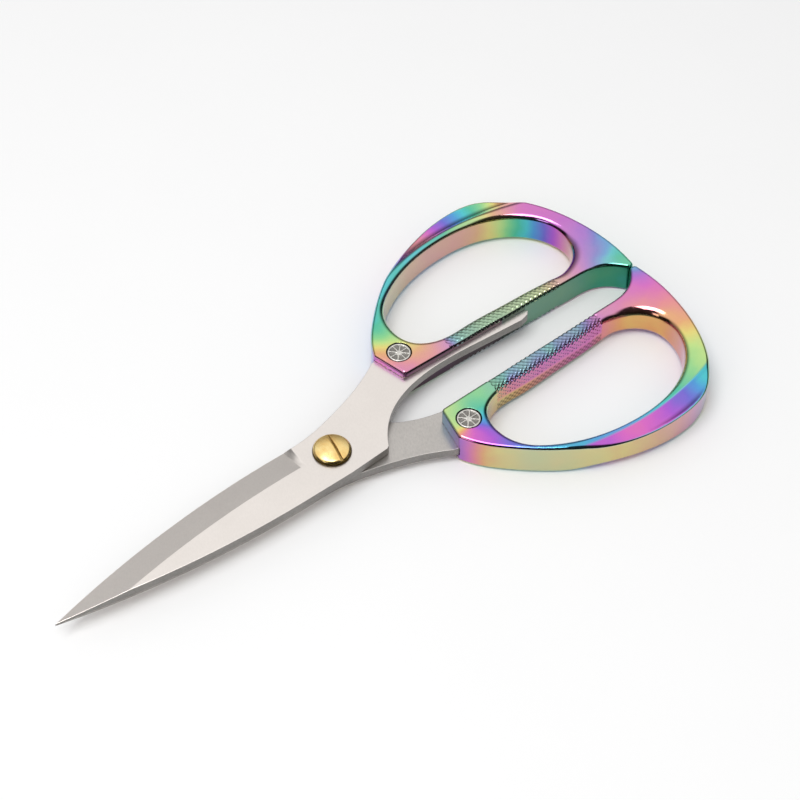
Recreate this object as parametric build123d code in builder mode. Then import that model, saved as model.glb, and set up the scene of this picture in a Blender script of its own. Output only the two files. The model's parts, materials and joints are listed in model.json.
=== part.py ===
"""Household scissors: two ground steel blades on cast handles, joined by a brass pivot screw.

Units are millimetres. The scissors lie flat on the undersides of their handles, at z = 0.
+X runs from the blade tips to the finger bows, +Y towards the upper half's bow and +Z up.
The origin is under the middle of the whole outline. Outlines are given as (u, v): u is the
distance from the pivot towards the bows and v is the distance from the centre line.

The upper half holds the blade that lies on top. The lower half is its copy, turned over by
half a turn about the centre line, except for the hole that the pivot goes through.
"""
import os
from math import asin, cos, degrees, sin, sqrt

from build123d import *

# Driving dimensions -----------------------------------------------------------------------
overall_length = 195.0
tip_to_pivot = 86.4
handle_thickness = 10.0
blade_thickness = 2.7
shear_gap = 0.1            # free space between the two flat blade faces
tail_gap = 0.2             # free space between the two tails when the scissors are shut

# Blade
blade_half_width = 9.0
belly_u = -15.0            # the blade is widest here
heel_u = -8.0              # back end of the ground bevel
heel_ramp = 1.6            # length of the slope at the back end of the bevel
heel_v = 7.5               # half width of the blade behind the bevel
bevel_width = 8.3
edge_thickness = 0.35
tang_end_u = 73.6

# Handle casting
corner_round = 1.2         # the upright corners of the nose and tail
outer_round = 1.1
hole_round = 2.0
grip_inner = (7.9, 6.8)    # v of the straight inner side, at its front and back ends
scoop_crease = 83.0        # plan radius of the line where the hollow on the bow starts
scoop_centre = (73.0, -39.5)
scoop_radius = 4.5
scoop_depth = 1.4

# Rivets
rivet_place = (34.4, 15.0)
rivet_shank = 4.0
rivet_head = 6.5
rivet_head_depth = 1.6
rivet_recess = 0.1
rivet_seat = 7.0

# Pivot
screw_head = 10.6
screw_head_height = 2.2
screw_head_round = 1.0
head_clearance = 0.05
screw_shoulder = 6.0
shoulder_clearance = 0.05
screw_thread = 5.0
slot_width = 0.7
slot_depth = 0.8
slot_offset = 0.7
slot_angle = 78.5
nut_across = 8.0
nut_height = 1.5
nut_corner_round = 0.4
washer_outer = 9.0
washer_thickness = 0.3

# Worked out -------------------------------------------------------------------------------
pivot_x = tip_to_pivot - overall_length / 2
back_to_pivot = overall_length - tip_to_pivot
mid_z = handle_thickness / 2
blade_bottom = mid_z + shear_gap / 2
blade_top = blade_bottom + blade_thickness
belly_length = tip_to_pivot + belly_u
belly_radius = (belly_length**2 + blade_half_width**2) / (2 * blade_half_width)
belly_centre_v = blade_half_width - belly_radius
ramp_start = heel_u - heel_ramp
centre_line = Axis((0, 0, mid_z), (1, 0, 0))


def at(u, v, z=0):
    """A point given from the pivot, at height z."""
    return (pivot_x + u, v, z)


def turned_over(piece):
    """The lower half's copy of a piece of the upper half."""
    return piece.rotate(centre_line, 180)


def belly_v(u):
    """Half width of the blade in front of the belly."""
    return belly_centre_v + sqrt(belly_radius**2 - (u - belly_u) ** 2)


# Blades -----------------------------------------------------------------------------------
# A flat plate ground to one edge on its outer face, with a tang that lies along the handle.
with BuildSketch() as blade_outline:
    with BuildLine():
        edge_end = at(ramp_start, belly_v(ramp_start))
        RadiusArc(at(-tip_to_pivot, 0), edge_end, belly_radius)
        heel = Line(edge_end, at(heel_u, heel_v))
        neck = Spline(
            heel @ 1, at(-3.1, 7.8), at(0.7, 8.4), at(3.9, 9.1), at(7.4, 10.0),
            at(17.6, 13.3), at(27.0, 17.9),
        )
        Polyline(
            neck @ 1, at(33.0, 19.6), at(36.4, 16.5), at(37.0, 12.0), at(40.0, 9.0),
            at(72.0, 8.6), at(tang_end_u, 6.4), at(72.6, 5.4), at(70.0, 4.75),
        )
        throat = Spline(
            at(70.0, 4.75), at(62.0, 5.3), at(53.0, 6.0), at(41.0, 6.35), at(33.5, 5.6),
            at(24.1, 2.7), at(17.0, -2.4), at(13.0, -7.8),
            tangents=((-1, 0.08), (-0.55, -1)),
        )
        Polyline(
            throat @ 1, at(12.2, -8.3), at(0, -blade_half_width), at(belly_u, -blade_half_width),
        )
        RadiusArc(at(belly_u, -blade_half_width), at(-tip_to_pivot, 0), belly_radius)
    make_face()


def bevel_plane(u):
    """Upright plane across the cutting edge, with its x axis pointing out of the blade."""
    turn = asin((u - belly_u) / belly_radius)
    return Plane(at(belly_u, belly_centre_v), (sin(turn), cos(turn), 0), (cos(turn), -sin(turn), 0))


def bevel_profile(depth):
    """Triangle of metal ground away, drawn in a bevel plane."""
    inner = belly_radius - bevel_width
    outer = belly_radius + 1
    lower = blade_top - depth * (bevel_width + 1) / bevel_width
    Polygon((inner, blade_top), (outer, lower), (outer, blade_top), align=None)


with BuildPart() as blade_blank:
    add(blade_outline.sketch.moved(Location((0, 0, blade_bottom))))
    extrude(amount=blade_thickness)
    swing = degrees(asin((ramp_start - belly_u) / belly_radius))
    swing += degrees(asin(belly_length / belly_radius)) + 1
    with BuildSketch(bevel_plane(ramp_start)):
        bevel_profile(blade_thickness - edge_thickness)
    revolve(axis=Axis(at(belly_u, belly_centre_v), (0, 0, 1)), revolution_arc=swing,
            mode=Mode.SUBTRACT)
    with BuildSketch(bevel_plane(ramp_start)):
        bevel_profile(blade_thickness - edge_thickness)
    with BuildSketch(bevel_plane(heel_u)):
        bevel_profile(0.02)
    loft(mode=Mode.SUBTRACT)
    with BuildSketch(Plane.XY.offset(blade_bottom)):
        with Locations(at(*rivet_place)):
            Circle(rivet_shank / 2)
    extrude(amount=blade_thickness, mode=Mode.SUBTRACT)

with BuildPart() as upper_blade:
    add(blade_blank.part)
    with BuildSketch(Plane.XY.offset(blade_bottom)):
        with Locations(at(0, 0)):
            Circle(screw_shoulder / 2 + shoulder_clearance)
    extrude(amount=blade_thickness, mode=Mode.SUBTRACT)

with BuildPart() as lower_blade:
    add(turned_over(blade_blank.part))
    with BuildSketch(Plane.XY.offset(mid_z - shear_gap / 2)):
        with Locations(at(0, 0)):
            Circle(screw_thread / 2)
    extrude(amount=-blade_thickness, mode=Mode.SUBTRACT)

# Handles ----------------------------------------------------------------------------------
# A cast bow with a straight grip, a flat nose that clasps the blade and a pointed tail. The
# back of the bow has a hollow groove on both faces, which leaves a low rim along its edge.
with BuildPart() as handle_blank:
    with BuildSketch():
        with BuildLine():
            nose_inner = at(30.7, grip_inner[0])
            nose_outer = at(28.3, 18.4)
            bow = Spline(
                nose_outer, at(36.6, 29.6), at(49.5, 40.1), at(64.0, 46.8), at(79.0, 49.2),
                at(91.0, 46.9), at(99.6, 39.2), at(104.9, 29.3), at(107.8, 18.5),
                at(back_to_pivot, 8.0), at(107.9, tail_gap / 2),
                tangents=((0.4, 1), (-0.14, -1)),
            )
            tail_flat = Line(bow @ 1, at(105.9, tail_gap / 2))
            inner = Spline(
                tail_flat @ 1, at(102.5, 3.8), at(97.8, 6.2), at(91.0, grip_inner[1]),
                tangents=((-0.8, 1), (-1, 0.015)),
            )
            Polyline(inner @ 1, nose_inner, nose_outer)
        make_face()
    extrude(amount=handle_thickness)
    fillet(edges().filter_by(Axis.Z), corner_round)
    with BuildSketch():
        with BuildLine():
            hole = Spline(
                at(38.5, 23.5), at(40.2, 16.2), at(46.0, 12.6), at(56.0, 12.1), at(68.0, 11.7),
                at(80.0, 11.2), at(90.0, 11.2), at(97.5, 15.0), at(100.5, 22.4),
                at(98.4, 30.2), at(92.0, 36.9), at(82.5, 41.0), at(70.5, 42.0), at(58.0, 40.0),
                at(47.0, 35.2), at(40.6, 29.6),
                periodic=True,
            )
        make_face()
    extrude(amount=handle_thickness, mode=Mode.SUBTRACT)
    rims = edges().filter_by(Plane.XY).filter_by(lambda edge: edge.length > hole.length - 1)
    fillet(rims, hole_round)
    flats = faces().filter_by(Plane.XY).sort_by(Axis.Z)
    outer_edges = flats[0].outer_wire().edges() + flats[-1].outer_wire().edges()
    fillet(outer_edges, outer_round)
    cutter_lift = scoop_radius - scoop_depth
    cutter_radius = scoop_crease + sqrt(scoop_radius**2 - cutter_lift**2)
    with BuildSketch(Plane(at(*scoop_centre), (0, 1, 0), (1, 0, 0))):
        with Locations((cutter_radius, handle_thickness + cutter_lift),
                       (cutter_radius, -cutter_lift)):
            Circle(scoop_radius)
    revolve(axis=Axis(at(*scoop_centre), (0, 0, 1)), mode=Mode.SUBTRACT)

with BuildPart() as upper_handle:
    add(handle_blank.part)
    with BuildSketch(Plane.XY.offset(blade_bottom)):
        add(blade_outline.sketch)
    extrude(amount=blade_thickness, mode=Mode.SUBTRACT)
    with BuildSketch():
        with Locations(at(*rivet_place)):
            Circle(rivet_shank / 2)
    extrude(amount=handle_thickness, mode=Mode.SUBTRACT)
    seat_depth = rivet_recess + rivet_head_depth
    for plane in (Plane.XY, Plane.XY.offset(handle_thickness - seat_depth)):
        with BuildSketch(plane):
            with Locations(at(*rivet_place)):
                Circle(rivet_seat / 2)
        extrude(amount=seat_depth, mode=Mode.SUBTRACT)

with BuildPart() as lower_handle:
    add(turned_over(upper_handle.part))

# Handle rivets ----------------------------------------------------------------------------
# One through each nose and blade, with a wide round head on both faces.
with BuildPart() as upper_handle_rivet:
    with BuildSketch(Plane.XY.offset(rivet_recess)):
        with Locations(at(*rivet_place)):
            Circle(rivet_shank / 2)
    extrude(amount=handle_thickness - 2 * rivet_recess)
    head_planes = (Plane.XY.offset(rivet_recess),
                   Plane.XY.offset(handle_thickness - rivet_recess - rivet_head_depth))
    for plane in head_planes:
        with BuildSketch(plane):
            with Locations(at(*rivet_place)):
                Circle(rivet_head / 2)
        extrude(amount=rivet_head_depth)
    chamfer(faces().sort_by(Axis.Z)[0].edges() + faces().sort_by(Axis.Z)[-1].edges(), 0.25)

with BuildPart() as lower_handle_rivet:
    add(turned_over(upper_handle_rivet.part))

# Pivot ------------------------------------------------------------------------------------
# The screw turns with the lower blade. The upper blade swings on its plain shoulder.
head_seat = blade_top + head_clearance
lower_blade_top = mid_z - shear_gap / 2
lower_blade_bottom = lower_blade_top - blade_thickness
nut_top = lower_blade_bottom - washer_thickness
nut_bottom = nut_top - nut_height

with BuildPart() as pivot_screw:
    with BuildSketch(Plane.XY.offset(nut_bottom)):
        with Locations(at(0, 0)):
            Circle(screw_thread / 2)
    extrude(amount=lower_blade_top - nut_bottom)
    with BuildSketch(Plane.XY.offset(lower_blade_top)):
        with Locations(at(0, 0)):
            Circle(screw_shoulder / 2)
    extrude(amount=head_seat - lower_blade_top)
    with BuildSketch(Plane.XY.offset(head_seat)):
        with Locations(at(0, 0)):
            Circle(screw_head / 2)
    extrude(amount=screw_head_height)
    fillet(faces().sort_by(Axis.Z)[-1].edges(), screw_head_round)
    slot_shift = (slot_offset, 0)
    with BuildSketch(Plane.XY.offset(head_seat + screw_head_height)):
        with Locations(at(*slot_shift)):
            Rectangle(1.5 * screw_head, slot_width, rotation=slot_angle)
    extrude(amount=-slot_depth, mode=Mode.SUBTRACT)

with BuildPart() as pivot_washer:
    with BuildSketch(Plane.XY.offset(nut_top)):
        with Locations(at(0, 0)):
            Circle(washer_outer / 2)
            Circle(screw_thread / 2, mode=Mode.SUBTRACT)
    extrude(amount=washer_thickness)

with BuildPart() as pivot_nut:
    with BuildSketch(Plane.XY.offset(nut_bottom)):
        with Locations(at(0, 0)):
            RegularPolygon(nut_across / 2, 6, major_radius=False)
            Circle(screw_thread / 2, mode=Mode.SUBTRACT)
    extrude(amount=nut_height)
    corners = edges().filter_by(Axis.Z)
    fillet(corners, nut_corner_round)

# Files ------------------------------------------------------------------------------------
os.makedirs("parts", exist_ok=True)
pieces = {
    "upper_blade": upper_blade,
    "lower_blade": lower_blade,
    "upper_handle": upper_handle,
    "lower_handle": lower_handle,
    "upper_handle_rivet": upper_handle_rivet,
    "lower_handle_rivet": lower_handle_rivet,
    "pivot_screw": pivot_screw,
    "pivot_washer": pivot_washer,
    "pivot_nut": pivot_nut,
}
for name, piece in pieces.items():
    piece.part.label = name
    export_step(piece.part, f"parts/{name}.step")
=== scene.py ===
"""Looks of the household scissors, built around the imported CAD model.

Shapes are worked out in millimetres from the pivot: u runs towards the bows, v towards the
bow of the half at hand and z up from the plane where the blades shear. The lower half is the
upper half turned over about the u axis, so both use the same shapes.

The cast handles, the rivets, the screw and the nut are solids given by a formula that is
negative inside them. surface_net() turns such a formula into a mesh of quads.
"""
import json
import math

import bmesh
import bpy
import numpy as np
from mathutils import Matrix, Vector


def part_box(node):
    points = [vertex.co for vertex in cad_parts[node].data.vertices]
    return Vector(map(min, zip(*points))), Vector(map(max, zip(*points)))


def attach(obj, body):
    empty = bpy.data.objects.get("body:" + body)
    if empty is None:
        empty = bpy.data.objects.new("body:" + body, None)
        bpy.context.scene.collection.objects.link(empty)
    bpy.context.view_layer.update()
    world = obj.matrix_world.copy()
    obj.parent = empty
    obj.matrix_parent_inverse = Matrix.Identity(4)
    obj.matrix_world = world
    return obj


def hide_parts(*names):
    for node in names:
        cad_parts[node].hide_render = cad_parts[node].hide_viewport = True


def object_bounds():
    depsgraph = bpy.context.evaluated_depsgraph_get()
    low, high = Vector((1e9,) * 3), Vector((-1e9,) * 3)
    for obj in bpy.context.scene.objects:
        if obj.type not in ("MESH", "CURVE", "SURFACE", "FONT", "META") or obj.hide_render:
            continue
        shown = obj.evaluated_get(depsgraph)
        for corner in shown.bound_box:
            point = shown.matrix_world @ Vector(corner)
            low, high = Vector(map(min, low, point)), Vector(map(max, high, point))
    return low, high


MM = 0.001

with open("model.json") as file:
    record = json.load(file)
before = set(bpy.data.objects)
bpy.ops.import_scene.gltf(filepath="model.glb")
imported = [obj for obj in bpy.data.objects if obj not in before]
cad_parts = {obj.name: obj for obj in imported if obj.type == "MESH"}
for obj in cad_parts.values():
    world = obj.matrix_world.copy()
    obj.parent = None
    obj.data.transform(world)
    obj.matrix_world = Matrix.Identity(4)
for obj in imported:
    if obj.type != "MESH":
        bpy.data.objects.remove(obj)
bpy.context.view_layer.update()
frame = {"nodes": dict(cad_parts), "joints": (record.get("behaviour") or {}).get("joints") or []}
pivot = np.array(frame["joints"][0]["pos_m"])


def reach(node, side, axis):
    """How far a CAD node reaches from the pivot, in mm, at its low end (side 0) or high end (1)."""
    return (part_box(node)[side][axis] - pivot[axis]) / MM


# Sizes, mm --------------------------------------------------------------------------------
half_thick = reach("upper_handle", 1, 2)
back_u = reach("upper_handle", 1, 0)
blade_low = reach("upper_blade", 0, 2)
blade_high = reach("upper_blade", 1, 2)
tail_v = reach("upper_handle", 0, 1)

corner_round = 1.2
outer_round = 1.1
hole_round = 2.0
tail_rim_round = 3.4        # the rim of the hole is rounder where the grip meets the tail
tail_rim_u = (84.0, 91.0)   # it grows rounder between these u
tail_rim_v = (17.0, 27.0)   # and less round again between these v
edge_break = 0.13           # rounding of the edges that are otherwise sharp
flat_angle = math.radians(0.3)      # blade facets that meet at less than this are one
sharp_angle = math.radians(7)       # those that meet at more than this show an edge
bevel_angle = math.radians(50)      # and at more than this the edge is rounded
crease_round = 0.9

scoop_crease = 83.0
scoop_centre = (73.0, -39.5)
scoop_radius = 4.5
scoop_depth = 1.4
scoop_lift = scoop_radius - scoop_depth
scoop_reach = scoop_crease + math.sqrt(scoop_radius**2 - scoop_lift**2)

knurl_span = (46.8, 86.0)   # u of its ends
knurl_rows = 24
knurl_pitch = (knurl_span[1] - knurl_span[0]) / knurl_rows
knurl_depth = 0.23          # from the tops to the pits
knurl_down_wall = 4.4       # how far it runs down the side of the hole from one face
knurl_over_edge = 0.6       # and from the other face
knurl_fade = 0.3            # half the stretch over which it dies out
knurl_skin = 1.2            # how thick the knurled skin is
knurl_across = (-1.5, 7.0)  # distances from the side of the hole between which it lies
knurl_by_hole = 1.5         # the limits down the side hold where the hole is closer than this
grip_high_v = 15.0          # the grip lies below this v
tang_end = (70.0, 74.0)     # u between which the tang comes to its end

rivet_place = (34.4, 15.0)
rivet_shank = 4.0
rivet_head = 6.5
rivet_seat = 7.0
rivet_recess = 0.1
rivet_head_depth = 1.6
star_depth = 0.22

screw_head = 10.6
screw_edge_round = 0.9
screw_shoulder = 6.0
screw_thread = 5.0
slot_width = 0.7
slot_depth = 1.2            # below the top of the dome
slot_offset = 0.7
slot_angle = math.radians(78.5)
head_low = blade_high + 0.05
head_high = reach("pivot_screw", 1, 2)
thread_low = reach("pivot_screw", 0, 2)
dome_radius = 13.0
thread_pitch = 0.8
thread_depth = 0.25

nut_across = 8.0
nut_low = reach("pivot_nut", 0, 2)
nut_high = reach("pivot_nut", 1, 2)


# Plan curves ------------------------------------------------------------------------------
def spline(points, start=None, end=None, closed=False, step=0.45):
    """Points along the smooth curve through the given ones, with its end directions if given."""
    p = np.array(points, float)
    if closed:
        p = np.vstack([p, p[:1]])
    n = len(p)
    span = np.linalg.norm(np.diff(p, axis=0), axis=1)
    system = np.zeros((n, n))
    wanted = np.zeros((n, 2))
    for i in range(1, n - 1):
        before, after = span[i - 1], span[i]
        system[i, i - 1:i + 2] = after, 2 * (before + after), before
        wanted[i] = 3 * (after / before * (p[i] - p[i - 1]) + before / after * (p[i + 1] - p[i]))
    if closed:
        before, after = span[-1], span[0]
        system[0, [n - 2, 0, 1]] = after, 2 * (before + after), before
        wanted[0] = 3 * (after / before * (p[0] - p[-2]) + before / after * (p[1] - p[0]))
        system[-1, [0, -1]] = 1, -1
    else:
        for row, near, direction in ((0, 1, start), (n - 1, n - 2, end)):
            if direction is None:
                system[row, [row, near]] = 2, 1
                wanted[row] = 3 * (p[near] - p[row]) / span[min(row, near)] * (1 if row == 0 else -1)
            else:
                system[row, row] = 1
                wanted[row] = np.array(direction) / np.linalg.norm(direction)
    slope = np.linalg.solve(system, wanted)
    curve = []
    for i in range(n - 1):
        t = np.linspace(0, 1, max(3, math.ceil(span[i] / step) + 1))[:-1, None]
        h = span[i]
        curve.append(
            (1 + 2 * t) * (1 - t) ** 2 * p[i] + t * (1 - t) ** 2 * h * slope[i]
            + t**2 * (3 - 2 * t) * p[i + 1] + t**2 * (t - 1) * h * slope[i + 1]
        )
    if not closed:
        curve.append(p[-1:])
    return np.vstack(curve)


def trimmed(run, length):
    """A run of points without its last stretch of that length, and where it is cut."""
    left = np.linalg.norm(run - run[-1], axis=1)
    kept = run[left > length]
    back = (kept[-1] - run[-1]) / np.linalg.norm(kept[-1] - run[-1])
    return np.vstack([kept, run[-1] + back * length])


def rounded(runs, radius):
    """One closed outline from runs that each start where the last one ends, corners rounded."""
    runs = [np.array(run, float) for run in runs]
    arcs = []
    for i, run in enumerate(runs):
        after = runs[(i + 1) % len(runs)]
        corner = run[-1]
        a = (run[-1] - run[-2]) / np.linalg.norm(run[-1] - run[-2])
        b = (after[1] - after[0]) / np.linalg.norm(after[1] - after[0])
        turn = math.atan2(a[0] * b[1] - a[1] * b[0], a @ b)
        cut = radius * math.tan(abs(turn) / 2)
        side = math.copysign(1, turn)
        centre = corner - a * cut + radius * side * np.array([-a[1], a[0]])
        spoke = corner - a * cut - centre
        angles = np.linspace(0, turn, 9)[1:-1]
        arcs.append(np.array([
            centre + [spoke[0] * math.cos(t) - spoke[1] * math.sin(t),
                      spoke[0] * math.sin(t) + spoke[1] * math.cos(t)]
            for t in angles
        ]))
        runs[i] = trimmed(run, cut)
        runs[(i + 1) % len(runs)] = trimmed(after[::-1], cut)[::-1]
    return np.vstack([np.vstack([run, arc]) for run, arc in zip(runs, arcs)])


class PlanDistance:
    """Signed distance to a closed outline, negative inside, kept on a fine grid."""

    def __init__(self, outline, low, high, step=0.3):
        self.low, self.step = np.array(low, float), step
        counts = np.ceil((np.array(high) - low) / step).astype(int) + 1
        x = low[0] + step * np.arange(counts[0])[:, None]
        y = low[1] + step * np.arange(counts[1])[None, :]
        nearest = np.full(counts, np.inf)
        inside = np.zeros(counts, bool)
        for a, b in zip(outline, np.roll(outline, -1, axis=0)):
            run = b - a
            along = ((x - a[0]) * run[0] + (y - a[1]) * run[1]) / (run @ run)
            along = np.clip(along, 0, 1)
            gap = (x - a[0] - along * run[0]) ** 2 + (y - a[1] - along * run[1]) ** 2
            np.minimum(nearest, gap, out=nearest)
            if a[1] != b[1]:
                crosses = (a[1] > y) != (b[1] > y)
                inside ^= crosses & (x < a[0] + (y - a[1]) * run[0] / run[1])
        self.grid = np.where(inside, -1, 1) * np.sqrt(nearest)

    def __call__(self, x, y):
        x, y = np.broadcast_arrays(x, y)
        place = [(x - self.low[0]) / self.step, (y - self.low[1]) / self.step]
        cell = [np.clip(np.floor(q).astype(int), 1, n - 3) for q, n in zip(place, self.grid.shape)]
        weights = [self.cubic(np.clip(q - c, 0, 1)) for q, c in zip(place, cell)]
        total = 0
        for i in range(4):
            for j in range(4):
                sample = self.grid[cell[0] + i - 1, cell[1] + j - 1]
                total = total + weights[0][i] * weights[1][j] * sample
        return total

    @staticmethod
    def cubic(t):
        """Weights of the four neighbours in cubic interpolation."""
        return (
            t * (-0.5 + t * (1 - 0.5 * t)),
            1 + t * t * (-2.5 + 1.5 * t),
            t * (0.5 + t * (2 - 1.5 * t)),
            t * t * (-0.5 + 0.5 * t),
        )


# Solids by formula ------------------------------------------------------------------------
def meet(a, b, radius):
    """Where two solids overlap, with the edge between them rounded to that radius."""
    outside = np.sqrt(np.maximum(a + radius, 0) ** 2 + np.maximum(b + radius, 0) ** 2)
    return np.minimum(np.maximum(a, b), -radius) + outside


def ramp(x, low, high):
    """0 below low and 1 above high, with a smooth rise between."""
    t = np.clip((x - low) / (high - low), 0, 1)
    return t * t * (3 - 2 * t)


def gradient(field, p, eps=0.02):
    """Slope of a formula at each point."""
    slopes = []
    for axis in range(3):
        step = np.zeros(3)
        step[axis] = eps
        slopes.append((field(*(p + step).T) - field(*(p - step).T)) / (2 * eps))
    return np.stack(slopes, 1)


def surface_net(field, xs, ys, zs, rounds=4):
    """Points, quads and normals of the surface where the formula is zero, on a grid of planes."""
    value = field(xs[:, None, None], ys[None, :, None], zs[None, None, :])
    value = np.broadcast_to(value, (len(xs), len(ys), len(zs)))
    planes = (xs, ys, zs)
    cells = tuple(n - 1 for n in value.shape)
    total = np.zeros(cells + (3,))
    hits = np.zeros(cells)
    crossings = []
    for axis in range(3):
        a = value.take(range(value.shape[axis] - 1), axis)
        b = value.take(range(1, value.shape[axis]), axis)
        cut = (a < 0) != (b < 0)
        share = np.where(cut, a / np.where(cut, a - b, 1), 0)
        crossings.append((cut, a < 0))
        spot = np.zeros(cut.shape + (3,))
        for k in range(3):
            line = planes[k].reshape([-1 if m == k else 1 for m in range(3)])
            if k == axis:
                low = line.take(range(value.shape[k] - 1), k)
                high = line.take(range(1, value.shape[k]), k)
                spot[..., k] = low + share * (high - low)
            else:
                spot[..., k] = line
        others = [k for k in range(3) if k != axis]
        for da in (0, 1):
            for db in (0, 1):
                pick = [slice(None)] * 3
                pick[others[0]] = slice(da, da + cells[others[0]])
                pick[others[1]] = slice(db, db + cells[others[1]])
                near = cut[tuple(pick)]
                total += np.where(near[..., None], spot[tuple(pick)], 0)
                hits += near
    busy = hits > 0
    index = np.full(cells, -1)
    index[busy] = np.arange(busy.sum())
    points = total[busy] / hits[busy][:, None]
    quads = []
    for axis in range(3):
        cut, inner = crossings[axis]
        b_axis, c_axis = (axis + 1) % 3, (axis + 2) % 3
        at = np.argwhere(cut)
        keep = (at[:, b_axis] > 0) & (at[:, c_axis] > 0)
        keep &= (at[:, b_axis] < cells[b_axis]) & (at[:, c_axis] < cells[c_axis])
        at = at[keep]
        ring = []
        for db, dc in ((-1, -1), (0, -1), (0, 0), (-1, 0)):
            cell = at.copy()
            cell[:, b_axis] += db
            cell[:, c_axis] += dc
            ring.append(index[tuple(cell.T)])
        ring = np.stack(ring, 1)
        flipped = ~inner[tuple(at.T)]
        ring[flipped] = ring[flipped][:, ::-1]
        quads.append(ring)
    quads = np.vstack(quads)
    cell_size = min(np.diff(xs).min(), np.diff(ys).min(), np.diff(zs).min())
    for _ in range(rounds):
        slope = gradient(field, points)
        steep = np.maximum((slope**2).sum(1), 0.05)
        move = np.clip(field(*points.T) / steep, -cell_size, cell_size)
        points = points - slope * move[:, None]
    slope = gradient(field, points)
    normals = slope / np.maximum(np.linalg.norm(slope, axis=1), 1e-9)[:, None]
    return points, quads, normals


def planes_between(*stops):
    """Grid planes from (place, spacing) stops: each spacing holds up to the next place."""
    lines = []
    for (place, spacing), (after, _) in zip(stops, stops[1:]):
        count = max(1, round((after - place) / spacing))
        lines.append(np.linspace(place, after, count, endpoint=False))
    return np.concatenate(lines + [[stops[-1][0]]])


def turned(p):
    """The same points or directions in the half that is turned over."""
    return p * [1, -1, -1]


def make_piece(name, points, quads, normals, body, node, material):
    """A mesh that stands for a CAD node. Its points are in mm from the pivot."""
    mesh = bpy.data.meshes.new(name)
    mesh.from_pydata((points * MM + pivot).tolist(), [], quads.tolist())
    mesh.validate()
    mesh.polygons.foreach_set("use_smooth", np.ones(len(mesh.polygons), bool))
    mesh.normals_split_custom_set_from_vertices(normals.tolist())
    piece = bpy.data.objects.new(name, mesh)
    bpy.context.scene.collection.objects.link(piece)
    piece.data.materials.append(material)
    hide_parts(node)
    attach(piece, body)
    return piece


# Handle shape -----------------------------------------------------------------------------
nose_inner = (30.7, 7.9)
nose_outer = (28.3, 18.4)
bow = spline(
    [nose_outer, (36.6, 29.6), (49.5, 40.1), (64.0, 46.8), (79.0, 49.2), (91.0, 46.9),
     (99.6, 39.2), (104.9, 29.3), (107.8, 18.5), (back_u, 8.0), (107.9, tail_v)],
    start=(0.4, 1), end=(-0.14, -1),
)
tail_flat = [bow[-1], (106.9, tail_v), (105.9, tail_v)]
grip = spline([tail_flat[-1], (102.5, 3.8), (97.8, 6.2), (91.0, 6.8)],
              start=(-0.8, 1), end=(-1, 0.015))
grip_flat = np.linspace(grip[-1], nose_inner, 40)
nose = np.linspace(nose_inner, nose_outer, 12)
casting_outline = rounded([bow, tail_flat, np.vstack([grip, grip_flat[1:]]), nose], corner_round)
hole_outline = spline(
    [(38.5, 23.5), (40.2, 16.2), (46.0, 12.6), (56.0, 12.1), (68.0, 11.7), (80.0, 11.2),
     (90.0, 11.2), (97.5, 15.0), (100.5, 22.4), (98.4, 30.2), (92.0, 36.9), (82.5, 41.0),
     (70.5, 42.0), (58.0, 40.0), (47.0, 35.2), (40.6, 29.6)],
    closed=True,
)
tang_outline = np.vstack([
    [(15.0, 14.0)],
    spline([(17.6, 13.3), (27.0, 17.9)], start=(0.9, 0.42), end=(0.88, 0.5)),
    [(33.0, 19.6), (36.4, 16.5), (37.0, 12.0), (40.0, 9.0), (72.0, 8.6), (73.6, 6.4), (72.6, 5.4),
     (70.0, 4.75), (62.0, 5.3), (53.0, 6.0), (41.0, 6.35), (33.5, 5.6), (24.1, 2.7), (15.0, 2.0)],
])

plan_low, plan_high = (26.5, -2.0), (111.0, 51.5)
to_casting = PlanDistance(casting_outline, plan_low, plan_high)
to_hole = PlanDistance(hole_outline, plan_low, plan_high)
to_tang = PlanDistance(tang_outline, plan_low, plan_high)


def scoop(x, y, z):
    """The hollow ground along the back of the bow, on both faces."""
    out = np.hypot(x - scoop_centre[0], y - scoop_centre[1])
    return np.hypot(out - scoop_reach, np.abs(z) - half_thick - scoop_lift) - scoop_radius


def knurled(x, y, z, from_hole):
    """Where the grip is knurled: on both faces, and from one of them down the side of the hole."""
    down = half_thick - np.abs(z)
    where = ramp(x, knurl_span[0] - knurl_fade, knurl_span[0] + knurl_fade)
    where = where * (1 - ramp(x, knurl_span[1] - knurl_fade, knurl_span[1] + knurl_fade))
    limit = np.where(z < 0, knurl_down_wall, knurl_over_edge)
    past_limit = ramp(down, limit - knurl_fade, limit + knurl_fade)
    where = where * (1 - past_limit * (from_hole < knurl_by_hole))
    on_grip = (from_hole > knurl_across[0]) & (from_hole < knurl_across[1]) & (y < grip_high_v)
    return where * on_grip * ((down < knurl_skin) | (from_hole < knurl_skin))


def knurl_pits(x, z, from_hole):
    """Pattern of the knurl, from 0 on top of each hump to 1 in the pits between them."""
    across = from_hole - (half_thick - np.abs(z))
    along = x - knurl_span[0]
    waves = np.cos(2 * math.pi * along / knurl_pitch) * np.cos(2 * math.pi * across / knurl_pitch)
    return (1 - waves) / 2


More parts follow.
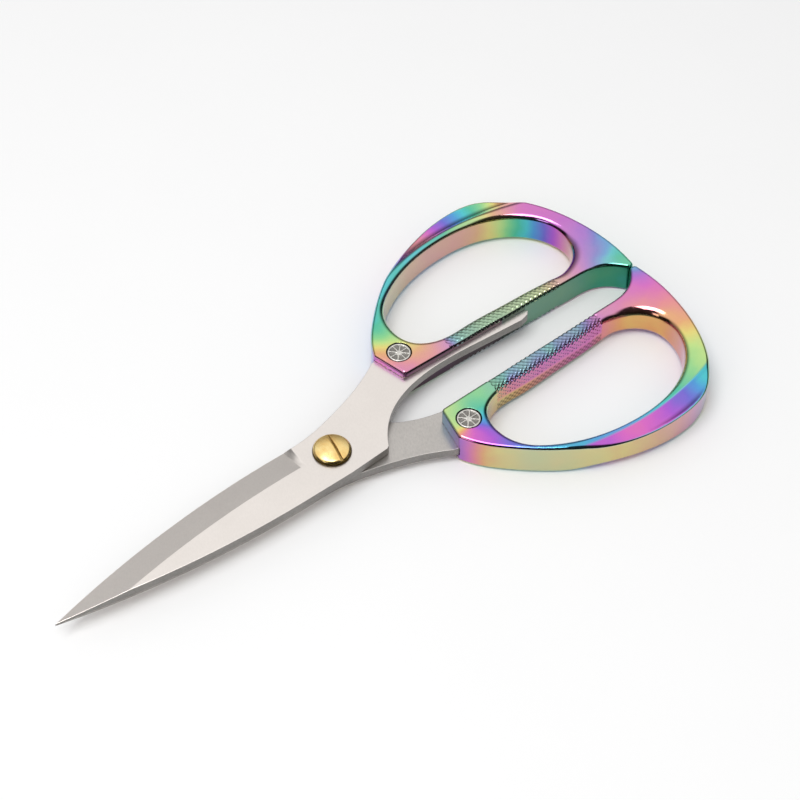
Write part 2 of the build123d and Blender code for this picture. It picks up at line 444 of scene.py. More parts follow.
def casting(x, y, z):
    """One cast handle, with the pocket for the tang and the seats for the rivet."""
    edge = to_casting(x, y)
    from_hole = to_hole(x, y)
    face = np.abs(z) - half_thick
    by_tail = ramp(x, *tail_rim_u) * (1 - ramp(y, *tail_rim_v))
    rim = hole_round + (tail_rim_round - hole_round) * by_tail
    body = np.maximum(meet(edge, face, outer_round), meet(-from_hole, face, rim))
    body = body + knurl_depth * knurled(x, y, z, from_hole) * knurl_pits(x, z, from_hole)
    body = meet(body, -scoop(x, y, z), crease_round)
    middle, half = (blade_low + blade_high) / 2, (blade_high - blade_low) / 2
    pocket = meet(to_tang(x, y), np.abs(z - middle) - half, 0.02)
    spot = np.hypot(x - rivet_place[0], y - rivet_place[1])
    seat_floor = half_thick - rivet_recess - rivet_head_depth
    seat = np.maximum(spot - rivet_seat / 2, seat_floor - np.abs(z))
    seat = np.minimum(seat, spot - rivet_shank / 2)
    body = meet(body, -pocket, 0.05)
    return meet(body, -seat, edge_break)


# Film colours -----------------------------------------------------------------------------
# The film on the castings changes colour with place. Each entry is (u, v, hue, strength), seen
# from above with v counted towards that half's bow. Hues are degrees on the colour circle and
# strength says how far the film hides the bare steel. "face" is the flat face, "scoop" the
# hollow, "hole" the side of the finger hole, "rim" the outer side and "grip" the knurled side.
film_colours = {
    "upper_handle": {
        "face": [
            (30.3, 10, 315, 0.7), (34, 8.7, 320, 0.7), (39, 8.5, 330, 0.7), (45, 8.5, 315, 0.6),
            (29.2, 14, 345, 0.7), (28.8, 18, 20, 0.8), (32, 12.5, 20, 0.7), (36, 11, 40, 0.7),
            (40, 11.3, 45, 0.7), (44, 11, 0, 0.5), (32, 17, 55, 0.9), (33, 21.5, 110, 0.9),
            (38, 17.5, 75, 0.8), (40.5, 14, 65, 0.8), (35, 24, 160, 0.9), (37, 29, 183, 0.9),
            (41, 35, 190, 0.9), (40, 25, 110, 0.8), (43, 32, 150, 0.8), (48, 37.5, 165, 0.8),
            (46, 38, 205, 0.9), (51, 41.5, 212, 0.9), (52, 40, 160, 0.8), (57, 42.5, 190, 0.8),
            (64, 44, 180, 0.8), (71, 44.5, 160, 0.8), (80, 44, 110, 0.7), (86, 43, 75, 0.7),
            (91, 40, 10, 0.6), (96, 36, 318, 0.8), (100, 31, 312, 0.8), (104, 26, 298, 0.8),
            (102, 20, 310, 0.7), (98, 13, 325, 0.7), (93, 9, 330, 0.6), (86, 8.5, 330, 0.4),
            (105, 18, 272, 0.7), (102, 13, 285, 0.6), (104, 11, 230, 0.6), (106, 6, 158, 0.9),
            (108, 14, 165, 0.8), (98, 8.5, 270, 0.5), (101, 6.5, 180, 0.6), (107.5, 2, 150, 0.8),
            (49, 10, 190, 0.45), (53, 10, 150, 0.4), (60, 10, 115, 0.4), (70, 10, 100, 0.4),
            (79, 9, 90, 0.45), (85, 9, 60, 0.4),
        ],
        "scoop": [
            (55, 44, 220, 0.9), (58, 44.5, 270, 0.7), (60.5, 45, 340, 0.6), (63, 46, 20, 0.8),
            (67, 47, 350, 0.8), (71.5, 47.5, 295, 0.9), (75.5, 48, 252, 0.9), (79.5, 48, 210, 0.9),
            (83, 47.5, 188, 0.9), (86.5, 47.5, 164, 0.9), (89.5, 46.5, 122, 0.8),
            (92.5, 45.5, 68, 0.8), (95, 44, 28, 0.8), (97, 42, 335, 0.8), (102, 36.5, 312, 0.8),
        ],
        "hole": [
            (40, 20, 50, 0.3), (45, 33, 50, 0.3), (51, 38, 45, 0.3), (58, 41, 30, 0.4),
            (67, 43, 12, 0.45), (76, 43, 10, 0.5), (82, 42, 22, 0.55), (87, 40, 42, 0.7),
            (90, 38, 75, 0.8), (93, 36, 140, 0.9), (95, 34, 178, 1.0), (97, 32, 200, 1.0),
            (98.5, 29.5, 235, 1.0), (99.7, 26.5, 290, 1.0), (100, 23, 325, 0.8),
            (98.7, 19, 5, 0.4), (95, 13, 40, 0.3), (86, 11, 100, 0.3), (60, 12, 100, 0.3),
        ],
        "rim": [
            # The first two rim entries lie under the tang and are weak, so that the painted shadow
            # there looks grey.
            (35, 7.5, 320, 0.35), (60, 7, 325, 0.25), (70, 7, 150, 0.3), (76, 7, 148, 0.6),
            (88, 6.5, 148, 0.6), (94, 6.3, 150, 0.7), (98, 5.5, 153, 0.9), (103, 3.3, 155, 1.0),
            (106, 1, 145, 1.0), (30, 10, 300, 0.8), (28.5, 17, 330, 0.8), (30, 21.5, 200, 0.8),
            (36, 29, 215, 0.8), (44, 36, 225, 0.7), (55, 43, 300, 0.6), (66, 47.5, 350, 0.6),
            (77, 49, 230, 0.6), (88, 48, 150, 0.6), (96, 43, 60, 0.6), (102, 34, 150, 0.7),
            (106, 25, 165, 0.8), (108.5, 12, 170, 0.9), (108, 3, 200, 0.8),
        ],
        "grip": [(45, 12, 150, 0.3), (80, 11, 100, 0.35)],
    },
    "lower_handle": {
        "face": [
            (31, 8.3, 60, 0.8), (37, 8.3, 70, 0.7), (43, 8.6, 85, 0.8), (46, 9.5, 105, 0.8),
            (33, 10.5, 150, 0.8), (38, 11, 170, 0.8), (41, 11, 145, 0.9), (39, 16, 184, 0.9),
            (37, 19.5, 205, 1.0), (33.5, 20.5, 310, 0.9), (30.5, 19.5, 338, 0.9),
            (29.6, 15, 55, 0.8), (31.5, 15, 130, 0.8), (30.5, 11, 75, 0.7), (32, 23, 322, 0.9),
            (34, 25.5, 300, 1.0), (36, 25, 280, 1.0), (39, 26, 225, 1.0), (37.5, 29, 248, 1.0),
            (40, 31.5, 222, 1.0), (43, 34, 208, 0.9), (47, 37, 198, 0.9), (52, 40, 200, 0.9),
            (57, 42, 208, 0.9), (63, 43, 212, 0.8), (70, 43.5, 205, 0.9), (76, 42.5, 190, 0.9),
            (83, 41, 165, 0.9), (89, 39, 130, 0.8), (94, 36.5, 105, 0.9), (98, 34, 95, 0.9),
            (100.5, 31.5, 75, 0.9), (103, 28, 50, 0.9), (104.3, 24, 25, 0.8), (105, 20, 352, 0.8),
            (105, 16, 340, 0.8), (105, 12, 325, 0.9), (104, 8, 316, 0.9), (105.5, 5, 310, 0.8),
            (107, 1.5, 180, 0.6), (90, 8, 330, 0.6), (95, 8.5, 325, 0.8), (99, 8.5, 318, 0.8),
            (100, 12, 350, 0.8), (97.5, 12, 45, 0.7), (102.3, 19, 50, 0.8), (103.4, 32, 60, 0.7),
            (100, 37, 85, 0.8), (48, 10.3, 172, 0.45), (58, 10.2, 168, 0.45), (68, 9.8, 166, 0.45),
            (78, 9.3, 168, 0.45), (48, 8, 200, 0.3), (60, 7.8, 200, 0.3), (75, 7.3, 220, 0.3),
            (52, 12.5, 330, 0.7), (62, 12.2, 318, 0.7), (72, 12, 310, 0.7), (82, 11.6, 305, 0.7),
        ],
        "scoop": [
            (57, 42, 290, 0.9), (59.5, 42.5, 300, 1.0), (63.5, 43.5, 318, 1.0), (68, 44.5, 328, 1.0),
            (73.5, 45, 318, 1.0), (77.5, 45, 298, 1.0), (82, 44, 266, 1.0), (86, 43.5, 240, 1.0),
            (91, 42, 205, 1.0), (94.5, 41.5, 192, 1.0), (98, 40, 170, 0.9),
        ],
        "hole": [
            (40, 20, 60, 0.5), (43, 14.5, 40, 0.5), (47, 12.3, 45, 0.7), (50, 12.3, 48, 0.8),
            (54, 12, 36, 0.8), (59, 12, 18, 0.8), (64, 12, 0, 0.8), (70, 11.7, 340, 0.8),
            (76, 11.5, 328, 0.9), (82, 11.3, 322, 0.9), (87, 11, 8, 0.8), (93, 11.8, 33, 0.9),
            (97, 14, 37, 1.0), (100, 18, 41, 1.0), (101, 21.5, 38, 0.9), (100.5, 25.5, 10, 0.6),
            (97, 32, 330, 0.5), (86, 40.5, 200, 0.6), (60, 41, 190, 0.6),
        ],
        "rim": [
            (28.6, 17.5, 270, 0.7), (28.8, 19, 300, 0.8), (30, 21.5, 0, 0.8), (32.5, 25, 46, 0.75),
            (35, 28, 60, 0.5), (41, 33.5, 66, 0.4), (47, 38.5, 64, 0.45), (54, 43, 56, 0.55),
            (62, 46, 50, 0.65), (69, 48, 40, 0.6), (76, 49, 20, 0.5), (81, 49, 348, 0.5),
            (86.5, 48, 322, 0.5), (91, 47, 260, 0.3), (97, 42, 190, 0.5), (104, 31, 200, 0.6),
            (108.5, 12, 230, 0.6), (108, 3, 160, 0.8), (104, 3, 155, 0.9), (96, 6.5, 150, 0.6),
            (80, 7, 140, 0.3), (45, 7.5, 140, 0.3), (31, 8.5, 200, 0.6), (29.8, 12, 205, 0.6),
            (29, 16, 220, 0.6),
        ],
        "grip": [(47, 12, 30, 0.7), (52, 12, 345, 0.8), (60, 12, 325, 0.8), (80, 11, 318, 0.8)],
    },
}
film_reach = 3.0            # how far an entry's colour carries where entries are close, mm

# Painted shade on the film: how light the film is painted on the parts of a casting, where its flat
# faces are 1.
# Painted shade on the upright sides, which are darker than the flat faces.
side_light = 0.88           # side of the finger hole and outer side
inner_side_light = 0.5      # side towards the other half
# Painted shadow lines above and below the tang, on the side towards the other half.
over_tang_light = 0.26
under_tang_light = 0.12
# Painted shade in the recessed seat round the rivet.
rivet_seat_light = 0.12
# Painted shade in the pits of the knurl, deepest along the hole.
pit_shade = 0.26            # how much darker the pits of the knurl are
corner_pit_shade = 0.56     # and how much more along the hole


def blended_film(points, entries):
    """Film at each point, as strength times (cos hue, sin hue), from the nearest entries."""
    place = np.array([entry[:2] for entry in entries], float)
    hue = np.radians([entry[2] for entry in entries])
    strong = np.array([entry[3] for entry in entries])
    square = ((points[:, None, :2] - place[None]) ** 2).sum(2)
    closest = square.min(1, keepdims=True)
    near = np.exp((closest - square) / (2 * film_reach**2 + closest))
    near /= near.sum(1, keepdims=True)
    total = near @ np.stack([np.cos(hue), np.sin(hue)], 1)
    return total / np.linalg.norm(total, axis=1, keepdims=True) * (near @ strong)[:, None]


def mixed(share, a, b):
    """a where share is 0 and b where it is 1."""
    return a + (b - a) * share[:, None]


def film_on(points, normals, name):
    """Film and its painted shade. Points and normals are seen from above, with v towards the bow."""
    own = film_colours[name]
    below = film_colours[{"upper_handle": "lower_handle", "lower_handle": "upper_handle"}[name]]
    x, y, z = points.T
    under = (normals[:, 2] < 0).astype(float)
    face = mixed(under, blended_film(points, own["face"]), blended_film(points, below["face"]))
    hollow = mixed(under, blended_film(points, own["scoop"]), blended_film(points, below["scoop"]))
    hole = blended_film(points, own["hole"])
    on_grip = (x > knurl_span[0]) & (x < knurl_span[1]) & (y < grip_high_v)
    on_grip = ramp(z, -0.6, 0.6) * on_grip
    hole = mixed(on_grip, hole, blended_film(points, own["grip"]))
    by_hole = (to_hole(x, y) < -to_casting(x, y)).astype(float)
    side = mixed(1 - by_hole, hole, blended_film(points, own["rim"]))
    flatness = ramp(np.abs(normals[:, 2]), 0.2, 0.85)
    film = mixed(flatness, side, face)
    film = mixed(1 - ramp(np.abs(scoop(x, y, z)), 0.05, 0.3), film, hollow)
    return np.column_stack([film, film_painted_shade(points, flatness, by_hole)])


def film_painted_shade(points, flatness, by_hole):
    """Painted shade on the film: darker on the sides, in the pits of the grip and round the rivet."""
    x, y, z = points.T
    by_tang = np.where(z < blade_low, under_tang_light, over_tang_light)
    inner_side = by_tang + (inner_side_light - by_tang) * ramp(x, *tang_end)
    outer_share = ramp(y, nose_inner[1] - 0.4, nose_inner[1] + 1.6)
    side = inner_side + (side_light - inner_side) * outer_share
    side = np.where(by_hole > 0, side_light, side)
    light = side + (1 - side) * flatness
    from_hole = to_hole(x, y)
    shade = pit_shade + corner_pit_shade * (1 - ramp(from_hole, 1.0, 2.6))
    pits = shade * knurl_pits(x, z, from_hole)
    light = light * (1 - pits * knurled(x, y, z, from_hole))
    in_seat = np.hypot(x - rivet_place[0], y - rivet_place[1]) < rivet_seat / 2 + 0.05
    return np.where(in_seat, rivet_seat_light * light, light)


# Materials --------------------------------------------------------------------------------
class Nodes:
    """The nodes of a material or world, with short calls for adding and joining them."""

    def __init__(self, owner):
        self.owner = owner
        owner.use_nodes = True
        self.tree = owner.node_tree

    def add(self, kind, inputs=(), **settings):
        node = self.tree.nodes.new("ShaderNode" + kind)
        for key, value in settings.items():
            setattr(node, key, value)
        for key, value in dict(inputs).items():
            if isinstance(value, bpy.types.NodeSocket):
                self.tree.links.new(value, node.inputs[key])
            else:
                node.inputs[key].default_value = value
        return node

    def math(self, operation, a, b=0.0):
        return self.add("Math", {0: a, 1: b}, operation=operation).outputs[0]

    def set(self, **inputs):
        """Values or links for the inputs of the material's shader."""
        shader = next(n for n in self.tree.nodes if n.type == "BSDF_PRINCIPLED")
        for key, value in inputs.items():
            socket = shader.inputs[key.replace("_", " ")]
            if isinstance(value, bpy.types.NodeSocket):
                self.tree.links.new(value, socket)
            else:
                socket.default_value = value

    def ramp(self, position, *stops):
        """A colour that runs through (place, colour) stops."""
        node = self.add("ValToRGB", {0: position})
        elements = node.color_ramp.elements
        while len(elements) < len(stops):
            elements.new(0.5)
        for element, (place, colour) in zip(elements, stops):
            element.position = place
            element.color = (*linear(colour), 1)
        return node.outputs[0]

    def noise(self, scale, stretch=(1, 1, 1), detail=2.0, roughness=0.5, turn=0.0):
        place = self.add("TexCoord").outputs["Object"]
        place = self.add("Mapping", {0: place, 2: (0, 0, turn)}, vector_type="POINT").outputs[0]
        place = self.add("Mapping", {0: place, 3: stretch}, vector_type="POINT").outputs[0]
        node = self.add("TexNoise", {"Vector": place, "Scale": scale, "Detail": detail,
                                     "Roughness": roughness})
        return node.outputs[0]

    def bump(self, height, distance):
        return self.add("Bump", {"Strength": 1.0, "Distance": distance, "Height": height}).outputs[0]

    def map(self, value, low, high, to_low, to_high):
        """The value, with low to high stretched to to_low to to_high."""
        return self.add("MapRange", {0: value, 1: low, 2: high, 3: to_low, 4: to_high}).outputs[0]

    def mix(self, share, a, b):
        """Colour a where share is 0 and b where it is 1."""
        node = self.add("Mix", data_type="RGBA")
        for socket, value in ((node.inputs[0], share), (node.inputs[6], a), (node.inputs[7], b)):
            if isinstance(value, bpy.types.NodeSocket):
                self.tree.links.new(value, socket)
            elif socket.type == "RGBA":
                socket.default_value = (*linear(value), 1)
            else:
                socket.default_value = value
        return node.outputs[2]


def linear(colour):
    """A colour given from 0 to 255 as screens show it, as light values."""
    return tuple(((c / 255 + 0.055) / 1.055) ** 2.4 if c > 10 else c / 255 / 12.92 for c in colour)


def film_material():
    """Steel under a thin film, whose colours run round the colour circle, darkened by the painted
    shade kept with the film.
    """
    m = Nodes(bpy.data.materials.new("rainbow_film"))
    film = m.add("Attribute", attribute_name="film", attribute_type="GEOMETRY").outputs["Vector"]
    parts = m.add("SeparateXYZ", {0: film}).outputs
    angle = m.math("ARCTAN2", parts[1], parts[0])
    wander = m.noise(140.0, detail=2.0)
    turns = m.math("DIVIDE", angle, 2 * math.pi)
    turns = m.math("ADD", turns, m.map(wander, 0.3, 0.7, -0.02, 0.02))
    turns = m.math("FRACT", m.math("ADD", turns, 1.0))
    colour = m.ramp(
        turns,
        (0.0, (236, 142, 150)), (30 / 360, (236, 174, 118)), (55 / 360, (234, 218, 124)),
        (85 / 360, (196, 228, 140)), (120 / 360, (140, 214, 148)), (160 / 360, (88, 196, 164)),
        (185 / 360, (88, 200, 208)), (210 / 360, (92, 160, 220)), (245 / 360, (120, 116, 212)),
        (285 / 360, (178, 100, 212)), (318 / 360, (218, 112, 196)), (1.0, (236, 142, 150)),
    )
    strength = m.math("SQRT", m.math("ADD", m.math("MULTIPLY", parts[0], parts[0]),
                                     m.math("MULTIPLY", parts[1], parts[1])))
    strength = m.add("Clamp", {0: m.math("MULTIPLY", strength, 1.1)}).outputs[0]
    colour = m.mix(strength, (196, 196, 190), colour)
    # The film attribute's third value is painted shade, which scales the colour.
    m.set(
        Base_Color=m.add("VectorMath", {0: colour, "Scale": parts[2]}, operation="SCALE").outputs[0],
        Metallic=1.0,
        Roughness=m.map(m.noise(900.0, detail=3.0), 0.3, 0.7, 0.08, 0.17),
    )
    return m.owner


def steel_material(name, light, dark, rough):
    """Satin steel with a fine even grain."""
    m = Nodes(bpy.data.materials.new(name))
    grain = m.noise(2600.0, detail=4.0, roughness=0.6)
    m.set(
        Base_Color=m.mix(m.map(grain, 0.3, 0.7, 0.0, 1.0), dark, light),
        Metallic=1.0,
        Roughness=m.map(grain, 0.3, 0.7, rough - 0.05, rough + 0.05),
    )
    return m.owner


def blade_material(name, outer_side):
    """Ground blade steel. Its outer face (+1 for up, -1 for down) is paler than the inner one, and
    its upright walls are darker, partly a duller finish and partly painted shade.
    """
    m = Nodes(bpy.data.materials.new(name))
    grain = m.noise(2200.0, (1, 0.45, 1), detail=5.0, roughness=0.65, turn=0.5)
    cloud = m.noise(70.0, detail=4.0, roughness=0.6)
    tone = m.math("ADD", m.math("MULTIPLY", grain, 0.55), m.math("MULTIPLY", cloud, 0.45))
    tone = m.map(tone, 0.35, 0.65, 0.0, 1.0)
    normal = m.add("NewGeometry").outputs["Normal"]
    outward = m.math("MULTIPLY", m.add("SeparateXYZ", {0: normal}).outputs[2], outer_side)
    pale = m.mix(tone, (230, 223, 217), (238, 231, 225))
    inner = m.mix(tone, (176, 172, 168), (198, 193, 188))
    # Upright walls: a duller finish, darkened further with painted shade for the shadowed floor below
    # them.
    wall = m.mix(tone, (120, 117, 114), (150, 147, 144))
    colour = m.mix(m.map(outward, -0.7, -0.3, 0.0, 1.0), inner, wall)
    m.set(
        Base_Color=m.mix(m.map(outward, 0.3, 0.7, 0.0, 1.0), colour, pale),
        Metallic=1.0,
        Roughness=m.map(grain, 0.3, 0.7, 0.28, 0.34),
    )
    return m.owner


def brass_material():
    """Polished brass, with painted shade inside the screw's slot and round the side of its head."""
    m = Nodes(bpy.data.materials.new("pivot_brass"))
    painted_shade = m.add("Attribute", attribute_name="painted_shade", attribute_type="GEOMETRY").outputs["Fac"]
    grain = m.noise(700.0, (1, 0.2, 1), detail=5.0, roughness=0.7)
    cloud = m.noise(260.0, detail=4.0)
    tone = m.math("ADD", m.math("MULTIPLY", grain, 0.4), m.math("MULTIPLY", cloud, 0.6))
    brass = m.mix(m.map(tone, 0.35, 0.65, 0.0, 1.0), (238, 190, 112), (255, 230, 162))
    m.set(
        # The dark colour is painted shade.
        Base_Color=m.mix(painted_shade, brass, (84, 66, 26)),
        Metallic=1.0,
        Roughness=m.map(cloud, 0.3, 0.7, 0.16, 0.28),
        Normal=m.bump(cloud, 0.00006),
    )
    return m.owner


def rivet_material():
    """Struck steel, with painted shade where the star is pressed in."""
    m = Nodes(bpy.data.materials.new("rivet_steel"))
    painted_shade = m.add("Attribute", attribute_name="painted_shade", attribute_type="GEOMETRY").outputs["Fac"]
    grain = m.noise(2600.0, detail=4.0, roughness=0.6)
    pale = m.mix(m.map(grain, 0.3, 0.7, 0.0, 1.0), (204, 201, 194), (228, 225, 219))
    m.set(
        # The darker colour is painted shade in the pressed-in ground of the star.
        Base_Color=m.mix(painted_shade, pale, (136, 133, 128)),
        Metallic=1.0,
        Roughness=m.map(grain, 0.3, 0.7, 0.22, 0.34),
    )
    return m.owner


film_finish = film_material()
upper_blade_finish = blade_material("upper_blade_steel", 1)
lower_blade_finish = blade_material("lower_blade_steel", -1)
rivet_finish = rivet_material()
washer_finish = steel_material("washer_steel", (208, 206, 202), (180, 178, 174), 0.3)
brass_finish = brass_material()


# Pieces -----------------------------------------------------------------------------------
def build_handles():
    """Both castings, from one mesh. Its grid is finer along the knurl and at the nose."""
    xs = planes_between((27.6, 0.4), (30.6, 0.28), (38.4, 0.4), (46.0, 0.2), (86.8, 0.4),
                        (109.2, 0.4))
    ys = planes_between((-0.6, 0.4), (5.8, 0.25), (13.4, 0.28), (18.6, 0.4), (50.0, 0.4))
    top = half_thick + 0.45
    zs = planes_between((-top, 0.25), (blade_low - 0.13, 0.27), (blade_high + 0.13, 0.25),
                        (top, 0.25))
    points, quads, normals = surface_net(casting, xs, ys, zs)
    for name, body in (("upper_handle", "upper_half"), ("lower_handle", "lower_half")):
        below = name == "lower_handle"
        upright = np.array([1, 1, -1]) if below else np.ones(3)
        place = turned(points) if below else points
        outward = turned(normals) if below else normals
        piece = make_piece(name + "_casting", place, quads, outward, body, name,
                           film_finish)
        film = piece.data.attributes.new("film", "FLOAT_VECTOR", "POINT")
        values = film_on(points * upright, normals * upright, name)
        film.data.foreach_set("vector", values.ravel())


def wall_height(face):
    """How tall an upright face is, or 0 if it lies flat."""
    heights = [vert.co.z for vert in face.verts]
    return (max(heights) - min(heights)) / MM if abs(face.normal.z) < 0.3 else 0


def build_blades():
    """Copies of the CAD blades, whose edges along the outline are broken with a small bevel."""
    for name, body, finish in (("upper_blade", "upper_half", upper_blade_finish),
                               ("lower_blade", "lower_half", lower_blade_finish)):
        node = frame["nodes"][name]
        mesh = node.data.copy()
        work = bmesh.new()
        work.from_mesh(mesh)
        bmesh.ops.remove_doubles(work, verts=work.verts, dist=0.001 * MM)
        bmesh.ops.dissolve_limit(work, angle_limit=flat_angle, verts=work.verts, edges=work.edges)
        edges = []
        for edge in work.edges:
            if len(edge.link_faces) == 2 and edge.calc_face_angle() > bevel_angle:
                heights = sorted(wall_height(face) for face in edge.link_faces)
                if heights[0] == 0 and heights[1] > 0.2:
                    edges.append(edge)
        bmesh.ops.bevel(work, geom=edges, offset=edge_break * MM, offset_type="OFFSET", segments=2,
                        profile=0.5, affect="EDGES", clamp_overlap=False)
        work.to_mesh(mesh)
        work.free()
        mesh.set_sharp_from_angle(angle=sharp_angle)
        mesh.materials.clear()
        mesh.materials.append(finish)
        piece = bpy.data.objects.new(name + "_ground", mesh)
        piece.matrix_world = node.matrix_world
        bpy.context.scene.collection.objects.link(piece)
        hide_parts(name)
        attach(piece, body)


def rivet_dent(x, y):
    """How far the ground between the eight rays of the star is pressed in, from 0 to 1."""
    radius = np.hypot(x, y)
    off_ray = np.abs(np.sin(4 * np.arctan2(y, x))) * radius / 4
    return ramp(off_ray, 0.12, 0.3) * (1 - ramp(radius, 2.5, 2.85))


def rivet(x, y, z):
    """A rivet head at the origin, whose face is at z = 0."""
    radius = np.hypot(x, y)
    face = z + star_depth * rivet_dent(x, y)
    return np.maximum(meet(radius - rivet_head / 2, face, 0.25), -rivet_head_depth - z)


def build_rivets():
    """Both rivets, each with a head on both faces and a plain shank between them."""
    spacing = 0.09
    flat = np.arange(-rivet_head / 2 - 0.15, rivet_head / 2 + 0.2, spacing)
    depth = np.arange(-rivet_head_depth - 0.1, 0.2, spacing)
    points, quads, normals = surface_net(rivet, flat, flat, depth)
    face = half_thick - rivet_recess
    u, v = rivet_place
    length = 2 * (face - rivet_head_depth)
    steps = 48
    rim = np.linspace(0, 2 * math.pi, steps + 1)[:-1]
    shank = np.array([(rivet_shank / 2 * math.cos(a), rivet_shank / 2 * math.sin(a), z)
                      for z in (-length / 2, length / 2) for a in rim])
    sides = np.array([(i, (i + 1) % steps, steps + (i + 1) % steps, steps + i) for i in range(steps)])
    shank_normals = shank * [1, 1, 0] / (rivet_shank / 2)
    all_points = np.vstack([points + [0, 0, face], turned(points) - [0, 0, face], shank]) + [u, v, 0]
    all_quads = np.vstack([quads, quads + len(points), sides + 2 * len(points)])
    all_normals = np.vstack([normals, turned(normals), shank_normals])
    for name, body in (("upper_handle_rivet", "upper_half"), ("lower_handle_rivet", "lower_half")):
        below = name == "lower_handle_rivet"
        piece = make_piece(
            name + "_star",
            turned(all_points) if below else all_points,
            all_quads,
            turned(all_normals) if below else all_normals,
            body, name, rivet_finish,
        )
        # Painted shade that follows how deep the star is pressed in; the shank gets none.
        painted_shade = piece.data.attributes.new("painted_shade", "FLOAT", "POINT")
        on_shank = np.arange(len(all_points)) >= 2 * len(points)
        depth_there = rivet_dent(all_points[:, 0] - u, all_points[:, 1] - v)
        painted_shade.data.foreach_set("value", np.where(on_shank, 0, depth_there))


def slot_distance(x, y):
    """Distance to the slot in plan, negative inside."""
    across = (x - slot_offset) * math.sin(slot_angle) - y * math.cos(slot_angle)
    return np.abs(across) - slot_width / 2


def screw(x, y, z):
    """Domed head with a slot, plain shoulder and thread."""
    radius = np.hypot(x, y)
    dome = np.sqrt(radius**2 + (z - head_high + dome_radius) ** 2) - dome_radius
    head = meet(meet(radius - screw_head / 2, dome, screw_edge_round), head_low - z, 0.12)
    slot = np.maximum(slot_distance(x, y), head_high - slot_depth - z)
    head = meet(head, -slot, 0.08)
    ends = np.maximum(z - head_low - 0.2, blade_low - 0.1 - z)
    shoulder = np.maximum(radius - screw_shoulder / 2, ends)
    turn = np.arctan2(y, x) / (2 * math.pi)
    wave = np.abs(((z / thread_pitch - turn) % 1) - 0.5) * 2
    thread = radius - screw_thread / 2 + thread_depth * ramp(wave, 0.2, 0.8)
    thread = meet(np.maximum(thread, z - blade_low - 0.2), thread_low - z, 0.3)
    return np.minimum(np.minimum(head, shoulder), thread)


def build_screw():
    """The pivot screw, with painted shade in its slot and round the side of its head."""
    spacing = 0.12
    flat = np.arange(-screw_head / 2 - 0.25, screw_head / 2 + 0.3, spacing)
    tall = np.arange(thread_low - 0.2, head_high + 0.25, spacing)
    points, quads, normals = surface_net(screw, flat, flat, tall)
    piece = make_piece("pivot_screw_brass", points, quads, normals, "lower_half", "pivot_screw",
                       brass_finish)
    x, y, z = points.T
    # Painted shade, deepest at the bottom of the slot, and on the side of the head.
    painted_shade = piece.data.attributes.new("painted_shade", "FLOAT", "POINT")
    in_slot = (slot_distance(x, y) < 0.05) & (z > head_low + 0.1)
    head_side_shade = ramp(np.hypot(x, y), screw_head / 2 - 0.45, screw_head / 2 - 0.1) * (z > head_low)
    slot_shade = 0.6 * in_slot * ramp(head_high - z, 0.35, 0.9)
    painted_shade.data.foreach_set("value", np.maximum(slot_shade, head_side_shade))


def nut(x, y, z):
    """Hexagon nut with its corners turned away on the outer face."""
    slanted = np.abs(x) * math.cos(math.pi / 6) + np.abs(y) * 0.5
    flats = np.maximum(np.abs(y), slanted) - nut_across / 2
    radius = np.hypot(x, y)
    cone = (radius + (nut_low + 0.1 - z) * 1.7 - nut_across / 2) / 2
    body = meet(meet(flats, cone, 0.05), np.maximum(z - nut_high, nut_low - z), 0.08)
    return meet(body, screw_thread / 2 + 0.02 - radius, 0.08)


def build_nut():
    """The nut under the lower blade."""
    flat = np.arange(-nut_across * 0.6, nut_across * 0.6 + 0.1, 0.12)
    tall = np.arange(nut_low - 0.2, nut_high + 0.2, 0.1)
    points, quads, normals = surface_net(nut, flat, flat, tall)
    make_piece("pivot_nut_brass", points, quads, normals, "lower_half", "pivot_nut",
               brass_finish)


def dress_nodes():
    """Materials for the CAD nodes that the pieces stand for, or that are kept as they are."""
    finishes = {
        "upper_blade": upper_blade_finish, "lower_blade": lower_blade_finish,
        "upper_handle": film_finish, "lower_handle": film_finish,
        "upper_handle_rivet": rivet_finish, "lower_handle_rivet": rivet_finish,
        "pivot_screw": brass_finish, "pivot_nut": brass_finish, "pivot_washer": washer_finish,
    }
    for name, finish in finishes.items():
        node = frame["nodes"][name]
        node.data.materials.clear()
        node.data.materials.append(finish)


# Camera, light and floor ------------------------------------------------------------------
camera_distance = 0.55
camera_height = 49.6        # degrees above the floor
camera_swing = 38.3         # degrees that the scissors' line is turned from the picture's level
camera_lens = 93.3
aim_right = 0.01796         # where the camera looks, from the pivot
aim_up = 0.01528


def view_axes():
    """The camera's right, up and forward directions, and the level one away from it."""
    swing, height = math.radians(camera_swing), math.radians(camera_height)
    away = Vector((math.sin(swing), math.cos(swing), 0))
    right = Vector((math.cos(swing), -math.sin(swing), 0))
    up = away * math.sin(height) + Vector((0, 0, math.cos(height)))
    forward = away * math.cos(height) - Vector((0, 0, math.sin(height)))
    return right, up, forward, away


def add_camera():
    """The camera, which looks at the middle of the scissors."""
    right, up, forward, _ = view_axes()
    data = bpy.data.cameras.new("camera")
    data.lens = camera_lens
    data.sensor_width = 36
    camera = bpy.data.objects.new("camera", data)
    turn = Matrix((right, up, -forward)).transposed()
    place = Vector(pivot) + right * aim_right + up * aim_up - forward * camera_distance
    camera.matrix_world = Matrix.Translation(place) @ turn.to_4x4()
    bpy.context.scene.collection.objects.link(camera)
    bpy.context.scene.camera = camera


def facing(place, target):
    """Placement of something at place whose front, its -Z, looks at target."""
    turn = (Vector(target) - Vector(place)).to_track_quat("-Z", "Y")
    return Matrix.Translation(place) @ turn.to_matrix().to_4x4()


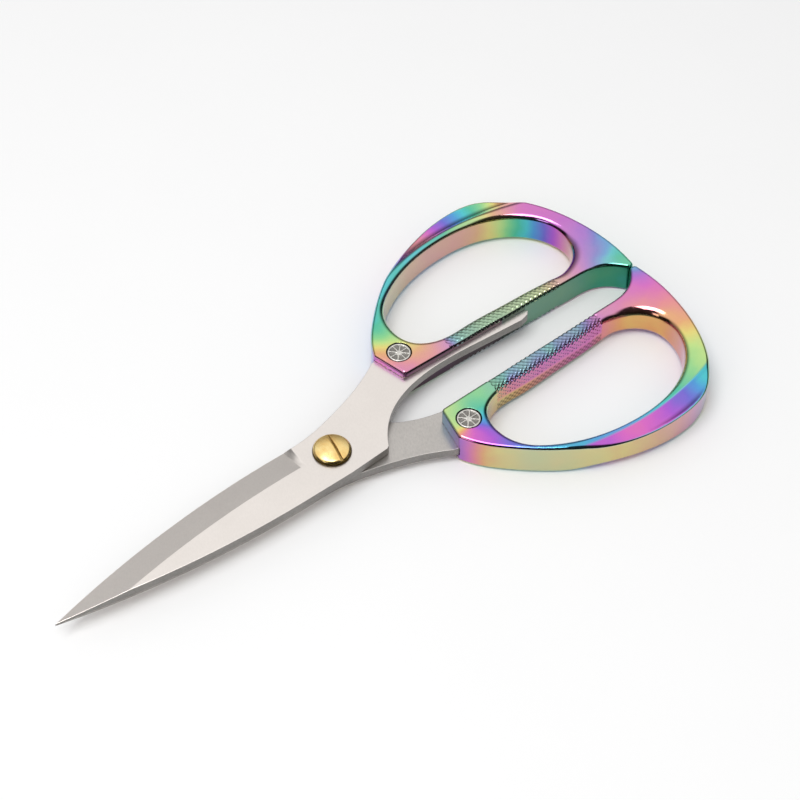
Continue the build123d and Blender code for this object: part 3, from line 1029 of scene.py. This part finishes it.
def add_light(name, place, target, size, power):
    """A soft light of that size, in metres, with its power in watts."""
    data = bpy.data.lights.new(name, "AREA")
    data.shape = "RECTANGLE"
    data.size, data.size_y = size
    data.energy = power
    light = bpy.data.objects.new(name, data)
    light.matrix_world = facing(place, target)
    bpy.context.scene.collection.objects.link(light)


def add_plane(name, placement, size, material):
    """A flat sheet that belongs to the stage and not to the object."""
    w, h = size[0] / 2, size[1] / 2
    mesh = bpy.data.meshes.new(name)
    mesh.from_pydata([(-w, -h, 0), (w, -h, 0), (w, h, 0), (-w, h, 0)], [], [(0, 1, 2, 3)])
    mesh.materials.append(material)
    plane = bpy.data.objects.new(name, mesh)
    plane.matrix_world = placement
    bpy.context.scene.collection.objects.link(plane)


def build_stage():
    """A pale floor, a large light overhead, a weaker one in front and the room."""
    right, _, _, away = view_axes()
    floor = Nodes(bpy.data.materials.new("floor"))
    pale = floor.mix(floor.noise(20.0), (250, 250, 250), (252, 252, 252))
    floor.set(Base_Color=pale, Roughness=0.9)
    floor_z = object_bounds()[0][2]
    add_plane("floor", Matrix.Translation((0, 0, floor_z - 0.0001)), (6, 6), floor.owner)

    overhead = Vector(pivot) + Vector((0, 0, 0.9)) - away * 0.2 - right * 0.15
    add_light("overhead", overhead, Vector(pivot), (0.7, 0.45), 4.5)
    window = Vector(pivot) - away * 0.8 - right * 0.65 + Vector((0, 0, 0.55))
    add_light("window", window, Vector(pivot), (0.35, 0.35), 0.6)
    build_world(right, away)


def build_world(right, away):
    """A white room. In reflections it is greyer low down, and dark behind the camera and right."""
    room = Nodes(bpy.data.worlds.new("studio"))
    bpy.context.scene.world = room.owner
    direction = room.add("TexCoord").outputs["Generated"]
    height = room.add("SeparateXYZ", {0: direction}).outputs[2]
    low_sky = room.map(height, 0.0, 0.35, 0.12, 0.42)
    sky = room.math("ADD", low_sky, room.map(height, 0.35, 0.7, 0.0, 0.58))
    level = room.add("VectorMath", {0: direction, 1: (1, 1, 0)}, operation="MULTIPLY").outputs[0]
    level = room.add("VectorMath", {0: level}, operation="NORMALIZE").outputs[0]
    front = room.add("VectorMath", {0: level, 1: -away}, operation="DOT_PRODUCT").outputs["Value"]
    column = room.math("MULTIPLY", room.map(front, 0.55, 0.72, 0.0, 1.0),
                       room.map(height, 0.94, 0.975, 1.0, 0.0))
    low_band = room.math("MULTIPLY", room.map(front, -0.05, 0.15, 0.0, 1.0),
                         room.map(height, 0.42, 0.55, 1.0, 0.0))
    beside = room.add("VectorMath", {0: level, 1: right}, operation="DOT_PRODUCT").outputs["Value"]
    right_wall = room.math("MULTIPLY", room.map(beside, 0.45, 0.7, 0.0, 0.9),
                           room.map(height, 0.4, 0.58, 1.0, 0.0))
    shade = room.math("MAXIMUM", room.math("MAXIMUM", column, low_band), right_wall)
    seen = room.math("MULTIPLY", sky, room.math("SUBTRACT", 1.0, room.math("MULTIPLY", shade, 0.97)))
    glossy = room.add("LightPath").outputs["Is Glossy Ray"]
    light = room.add("MapRange", {0: glossy, 1: 0.0, 2: 1.0, 3: 0.57, 4: seen}).outputs[0]
    background = room.tree.nodes["Background"]
    background.inputs["Color"].default_value = (1, 1, 1, 1)
    room.tree.links.new(light, background.inputs["Strength"])


def set_view():
    """Colours as given, with no film look over them."""
    bpy.context.scene.view_settings.view_transform = "Standard"


build_blades()
build_handles()
build_rivets()
build_screw()
build_nut()
dress_nodes()
add_camera()
build_stage()
set_view()
